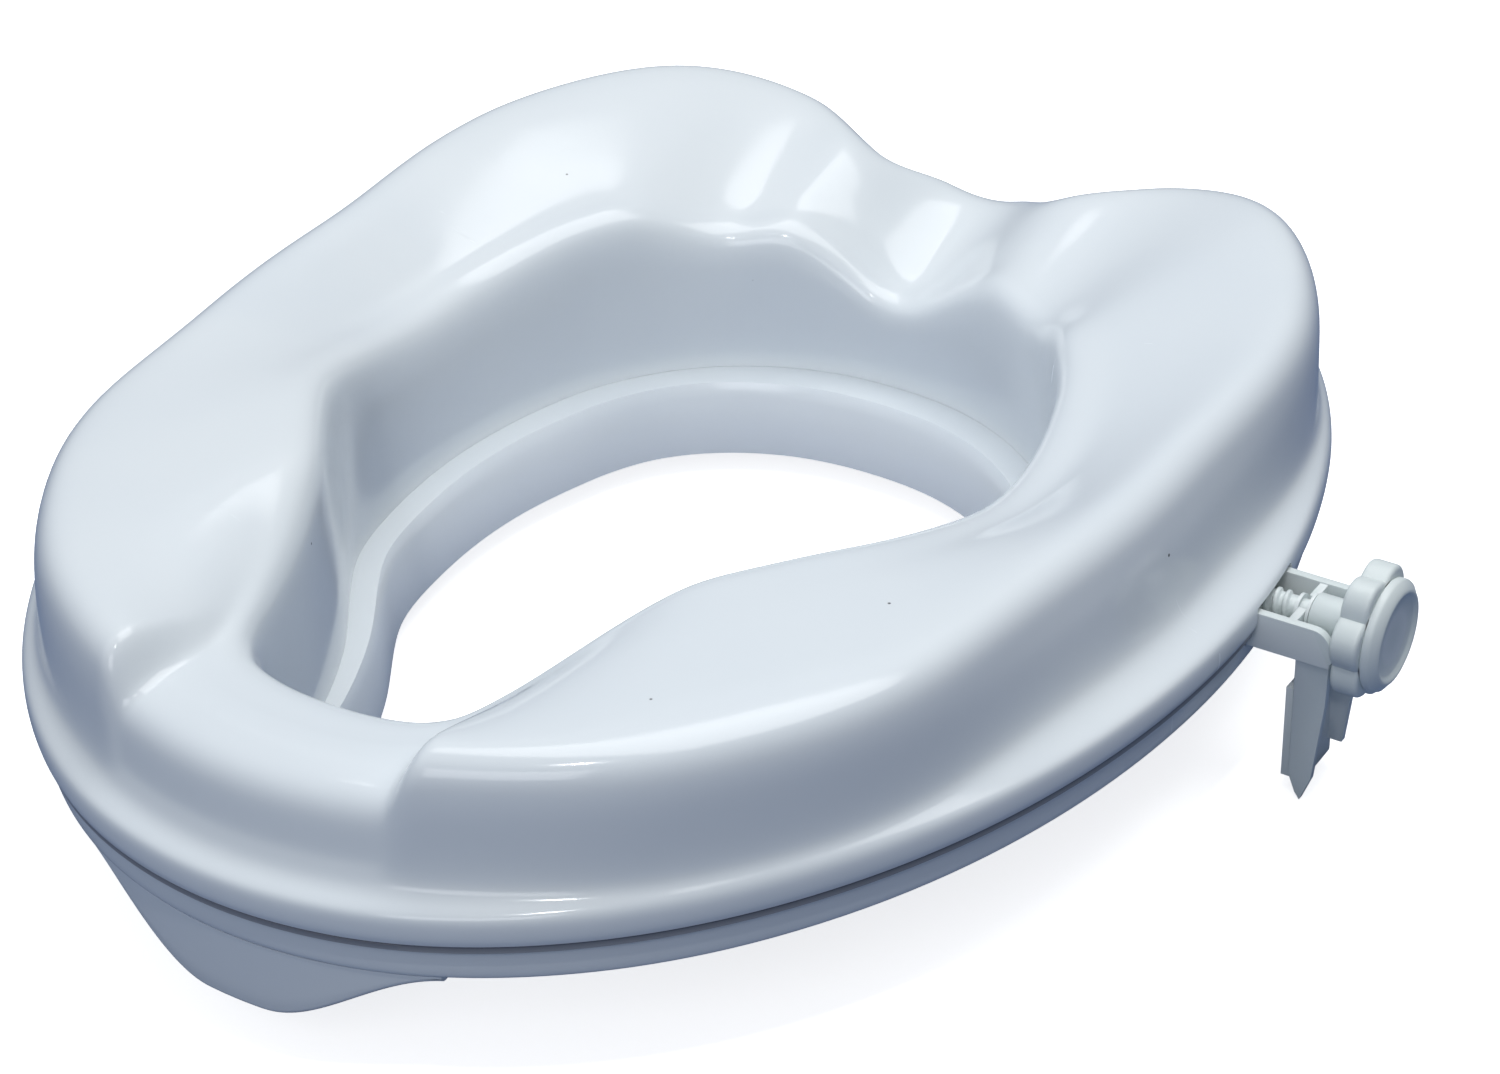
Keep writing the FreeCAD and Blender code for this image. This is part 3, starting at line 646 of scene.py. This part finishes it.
def screw_holes(piece):
    """Countersinks for the guide blocks' screws."""
    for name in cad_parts:
        if not name.startswith("guide_screw_"):
            continue
        low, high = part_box(name)
        centre = (low + high) / 2.0
        head = (high.x - low.x) / 2.0 + 0.05 * MM
        shank = head * 0.48
        rings = [
            (head * 1.15, low.z - 0.5 * MM),
            (head, low.z),
            (shank, low.z + 2.0 * MM),
            (shank, high.z + 1.0 * MM),
        ]
        angles = [2.0 * math.pi * k / 32 for k in range(32)]
        loops = [
            [(centre.x + r * math.cos(a), centre.y + r * math.sin(a), z) for a in angles] for r, z in rings
        ]
        cut(piece, loop_mesh("hole", np.array(loops), closed_around=False))


def make_base():
    piece = ring_piece("base_moulding", base_under_rows, base_upper_rows, 4, 3)
    arm_slots(piece)
    screw_holes(piece)
    dress(piece, SHELL, "seat", "shell_white", "base_shell")


# Painted shadow: a dark strip in the gap between the lip and the base's band, coloured as the shade that
# falls there.
def make_gap_shadow():
    piece = ring_piece("gap_shadow_strip", gap_shadow_outer_rows, gap_shadow_inner_rows, 4, 1)
    arm_slots(piece)
    dress(piece, GAP_SHADOW, "seat", "seam_grey", "seam_bead")


def guard_depth(x):
    return GUARD_Z + (REST_Z - 2.0 - GUARD_Z) * blend(abs(x), 0.15 * GUARD_HALF, GUARD_HALF)


def make_guard():
    """Rounded apron under the front: a plate that follows the rim, with a rolled lower edge."""
    reach = HALF_DEPTH + WIDEST_Y
    roll = GUARD_THICKNESS / 2.0
    top = REST_Z - 0.05
    loops = []
    for k in range(81):
        x = GUARD_HALF * (k / 40.0 - 1.0)
        low = guard_depth(x)
        side = REST_Z - 1.0 - roll - low
        outline = [(0.0, top), (0.0, REST_Z - 1.0)]
        outline += [(0.0, low + roll + side * share) for share in (0.75, 0.5, 0.25, 0.0)]
        for step in range(1, 7):
            angle = math.pi * step / 6.0
            outline.append((roll - roll * math.cos(angle), low + roll - roll * math.sin(angle)))
        outline += [(GUARD_THICKNESS, low + roll + side * share) for share in (0.5, 1.0)]
        outline.append((GUARD_THICKNESS, top))
        loop = []
        for inset, z in outline:
            half = HALF_WIDTH - GUARD_INSET - inset
            y = WIDEST_Y - (reach - GUARD_INSET - inset) * math.sqrt(1.0 - (x / half) ** 2)
            loop.append(at(x, y, z))
        loops.append(loop)
    piece = loop_mesh("front_apron", np.array(loops), closed_around=False)
    dress(piece, SHELL, "seat", "shell_white", "front_guard")


# ---- Clamp --------------------------------------------------------------------------------------
FLAT = math.radians(1.0)
CORNER = math.radians(30.0)


def softened(node, name, offset):
    """Copy of a CAD node with its edges rounded, as moulded plastic has them."""
    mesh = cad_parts[node].data.copy()
    work = bmesh.new()
    work.from_mesh(mesh)
    bmesh.ops.remove_doubles(work, verts=work.verts, dist=0.005 * MM)
    bmesh.ops.dissolve_limit(work, angle_limit=FLAT, verts=work.verts, edges=work.edges, delimit=set())
    corners = [e for e in work.edges if len(e.link_faces) == 2 and e.calc_face_angle(0.0) > CORNER]
    bmesh.ops.bevel(
        work, geom=corners, offset=offset * MM, segments=3, affect="EDGES", profile=0.5, clamp_overlap=True
    )
    bmesh.ops.triangulate(work, faces=[f for f in work.faces if len(f.verts) > 4])
    work.to_mesh(mesh)
    work.free()
    return finish_mesh(linked(name, mesh), 50.0)


def make_bracket():
    dress(softened("bracket", "bracket_moulding", 0.35), FITTING, "bracket", "fitting_white", "bracket")
    dress(softened("jaw_pad", "jaw_grip", 0.2), FITTING, "bracket", "fitting_white", "jaw_pad")


def thread_height(turns):
    """Height of the thread above its root, a number of turns along the helix."""
    share = turns % 1.0
    rise = blend(share, 0.05, 0.30) * (1.0 - blend(share, 0.55, 0.80))
    return (THREAD_R - THREAD_ROOT_R) * rise


def make_screw():
    """Threaded rod: a true helix up to the plain neck, which ends inside the knob."""
    step = 0.25
    start = SCREW_X[0] + 1.0
    end = NECK_X - 0.2
    rows = int((end - start) / step)

    def outline_at(angle):
        outline = [(SCREW_X[0], ON_AXIS), (SCREW_X[0], THREAD_ROOT_R - 0.5)]
        outline.append((SCREW_X[0] + 0.5, THREAD_ROOT_R))
        for m in range(rows + 1):
            x = start + step * m
            fade = blend(x, start, start + THREAD_PITCH) * (1.0 - blend(x, end - 1.0, end))
            height = thread_height(x / THREAD_PITCH - angle / (2.0 * math.pi))
            outline.append((x, THREAD_ROOT_R + height * fade))
        return outline + [(NECK_X, NECK_R), (SCREW_X[1], NECK_R), (SCREW_X[1], ON_AXIS)]

    dress(turned("thread_rod", outline_at, 48), FITTING, "knob", "fitting_white", "clamp_screw")


def make_knob():
    """Lobed head with rounded edges on a smooth hub with a fillet."""
    hub_face, back, front = KNOB_X
    thickness = front - back

    def outline_at(angle):
        crest = lobe_radius(angle)
        hub = [(hub_face, NECK_R), (hub_face, HUB_R - 0.6), (hub_face + 0.2, HUB_R - 0.2)]
        hub += [(hub_face + 0.6, HUB_R), (back - 2.4, HUB_R)]
        fillet = [(back - 1.2, HUB_R + 0.25), (back - 0.4, HUB_R + 0.8), (back - 0.05, HUB_R + 1.8)]
        fillet += [(back, HUB_R + 3.0), (back, 13.0)]
        head = corner_arc(back + KNOB_EDGE, crest - KNOB_EDGE, KNOB_EDGE, 180.0)
        head += [(back + thickness * 0.35, crest), (back + thickness * 0.65, crest)]
        head += corner_arc(front - KNOB_EDGE, crest - KNOB_EDGE, KNOB_EDGE, 90.0)
        seat = [(front, CAP_R), (front, CAP_SEAT_R), (CAP_X[0], CAP_SEAT_R), (CAP_X[0], 8.0)]
        return hub + fillet + head + seat + [(CAP_X[0], NECK_R)]

    dress(turned("knob_head", outline_at, 168), FITTING, "knob", "fitting_white", "knob")


def make_cap():
    """Round cap: bevelled rim round a shallow dish."""
    front = KNOB_X[2]
    inner, outer = CAP_X
    plug = [(inner, ON_AXIS), (inner, CAP_SEAT_R), (front, CAP_SEAT_R), (front, CAP_R - 0.3)]
    rim = [(front + 0.3, CAP_R), (front + 1.9, CAP_R), (front + 2.7, CAP_R - 0.35)]
    rim += [(outer - 0.7, CAP_R - 1.9), (outer - 0.2, CAP_R - 2.5), (outer, CAP_R - 3.1)]
    dish = [(outer - 0.05, CAP_R - 3.5), (outer - 0.4, CAP_R - 4.0), (outer - 0.9, CAP_R - 4.5)]
    dish += [(outer - 1.15, CAP_R - 5.2), (outer - CAP_DISH, 7.0), (outer - CAP_DISH, ON_AXIS)]
    piece = turned("knob_end_cap", lambda angle: plug + rim + dish, 128)
    dress(piece, FITTING, "knob", "fitting_white", "knob_cap")


NODE_MATERIALS = {
    "rest_pad_": PAD,
    "guide_block_": INNER,
    "captive_nut_": BRASS,
    "guide_screw_": STEEL,
    "thrust_washer": FITTING,
    "retaining_clip": FITTING,
}


def dress_nodes():
    """Better materials for the CAD nodes that stay."""
    for name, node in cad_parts.items():
        for start, material in NODE_MATERIALS.items():
            if name.startswith(start):
                node.data.materials.clear()
                node.data.materials.append(material)


# ---- Studio -------------------------------------------------------------------------------------
def camera_switch(tree, output, lighting, seen):
    """Sends one shader to the camera and another to every other ray."""
    path = tree.nodes.new("ShaderNodeLightPath")
    switch = tree.nodes.new("ShaderNodeMixShader")
    tree.links.new(path.outputs["Is Camera Ray"], switch.inputs[0])
    tree.links.new(lighting.outputs[0], switch.inputs[1])
    tree.links.new(seen.outputs[0], switch.inputs[2])
    tree.links.new(switch.outputs[0], output.inputs["Surface"])


FLOOR_HALF = 6.0
FLOOR_GLOW = 0.78


def make_floor():
    """Plain pale floor, bright to the camera and cooler and dimmer as a light source."""
    z = LEG_TIP - 0.5 * MM
    corners = [(FLOOR_HALF * x, FLOOR_HALF * y, z) for x, y in ((-1, -1), (1, -1), (1, 1), (-1, 1))]
    floor = new_piece("floor", corners, [(0, 1, 2, 3)])
    material = bpy.data.materials.new("pale_floor")
    material.use_nodes = True
    tree = material.node_tree
    tree.nodes.clear()
    out = tree.nodes.new("ShaderNodeOutputMaterial")
    pale = tree.nodes.new("ShaderNodeBsdfDiffuse")
    pale.inputs["Color"].default_value = colour(0.80, 0.80, 0.80)
    glow = tree.nodes.new("ShaderNodeEmission")
    glow.inputs["Color"].default_value = colour(1.0, 1.0, 1.0)
    glow.inputs["Strength"].default_value = FLOOR_GLOW
    both = tree.nodes.new("ShaderNodeAddShader")
    tree.links.new(pale.outputs[0], both.inputs[0])
    tree.links.new(glow.outputs[0], both.inputs[1])
    dim = tree.nodes.new("ShaderNodeBsdfDiffuse")
    dim.inputs["Color"].default_value = colour(0.125, 0.17, 0.28)
    camera_switch(tree, out, dim, both)
    floor.data.materials.append(material)


DOME_COLOURS = (
    (0.0, colour(0.26, 0.31, 0.42)),
    (0.45, colour(0.44, 0.49, 0.58)),
    (1.0, colour(0.92, 0.95, 1.0)),
)
DOME_STRENGTH = {"From Min": 0.1, "From Max": 0.9, "To Min": 0.66, "To Max": 0.22}


def make_world():
    """White to the camera. For other rays a cool dome, brightest overhead and dimmer to the right."""
    world = bpy.data.worlds.new("studio")
    bpy.context.scene.world = world
    world.use_nodes = True
    tree = world.node_tree
    tree.nodes.clear()
    out = tree.nodes.new("ShaderNodeOutputWorld")
    place = tree.nodes.new("ShaderNodeTexCoord")
    split = tree.nodes.new("ShaderNodeSeparateXYZ")
    tree.links.new(place.outputs["Generated"], split.inputs[0])
    ramp = tree.nodes.new("ShaderNodeValToRGB")
    stops = ramp.color_ramp.elements
    stops.new(DOME_COLOURS[1][0])
    for stop, (position, tint) in zip(stops, DOME_COLOURS):
        stop.position = position
        stop.color = tint
    shade = tree.nodes.new("ShaderNodeMapRange")
    for socket, value in DOME_STRENGTH.items():
        shade.inputs[socket].default_value = value
    dome = tree.nodes.new("ShaderNodeBackground")
    tree.links.new(split.outputs["X"], shade.inputs["Value"])
    tree.links.new(shade.outputs["Result"], dome.inputs["Strength"])
    tree.links.new(split.outputs["Z"], ramp.inputs["Fac"])
    tree.links.new(ramp.outputs["Color"], dome.inputs["Color"])
    white = tree.nodes.new("ShaderNodeBackground")
    white.inputs["Strength"].default_value = 1.0
    camera_switch(tree, out, dome, white)


def soft_box(name, place, aim, size, power, tint):
    """Rectangular area light at a place, aimed at a point."""
    light = bpy.data.lights.new(name, "AREA")
    light.shape = "RECTANGLE"
    light.size, light.size_y = size
    light.energy = power
    light.color = tint
    holder = linked(name, light)
    holder.location = place
    holder.rotation_mode = "QUATERNION"
    holder.rotation_quaternion = (aim - place).to_track_quat("-Z", "Y")
    return holder


CAMERA_AZIMUTH = 33.3
CAMERA_ELEVATION = 32.3
CAMERA_ROLL = -1.7
CAMERA_DISTANCE = 1042.0
CAMERA_LENS = 86.1
CAMERA_AIM = at(25.8, 6.3, LIP_Z)


def make_camera():
    turn = math.radians(CAMERA_AZIMUTH)
    rise = math.radians(CAMERA_ELEVATION)
    back = Vector((math.sin(turn) * math.cos(rise), -math.cos(turn) * math.cos(rise), math.sin(rise)))
    right = Vector((math.cos(turn), math.sin(turn), 0.0))
    up = back.cross(right)
    matrix = Matrix((right, up, back)).transposed().to_4x4()
    matrix.translation = CAMERA_AIM + back * CAMERA_DISTANCE * MM
    data = bpy.data.cameras.new("camera")
    data.lens = CAMERA_LENS
    data.clip_start = 0.01
    data.clip_end = 50.0
    camera = linked("camera", data)
    camera.matrix_world = matrix @ Matrix.Rotation(math.radians(CAMERA_ROLL), 4, "Z")
    bpy.context.scene.camera = camera


WARM = (1.0, 1.0, 0.985)
COOL = (0.97, 0.98, 1.0)
NEUTRAL = (1.0, 1.0, 1.0)
REAR_WALL = at(60.0, 120.0, 70.0)
APERTURE_MIDDLE = at(5.0, -45.0, 48.0)


def make_lights():
    aim = at(0.0, 0.0, TOP_Z)
    soft_box("overhead", Vector((0.12, 0.28, 1.9)), aim, (1.9, 1.2), 22.5, WARM)
    soft_box("window", Vector((-0.62, 0.80, 1.60)), aim, (1.2, 0.8), 0.9, WARM)
    soft_box("front_fill", Vector((0.55, -1.8, 1.3)), aim, (1.0, 0.8), 7.0, COOL)
    soft_box("flash", Vector((0.35, -0.75, 1.35)), aim, (0.05, 0.035), 2.2, NEUTRAL)
    fill = soft_box("rear_fill", APERTURE_MIDDLE, REAR_WALL, (0.12, 0.04), 0.045, (1.0, 1.0, 0.99))
    fill.visible_camera = False
    fill.visible_glossy = False


make_seat_top()
make_base()
make_gap_shadow()
make_guard()
make_bracket()
make_screw()
make_knob()
make_cap()
dress_nodes()
make_floor()
make_world()
make_camera()
make_lights()
bpy.context.scene.view_settings.view_transform = "Standard"
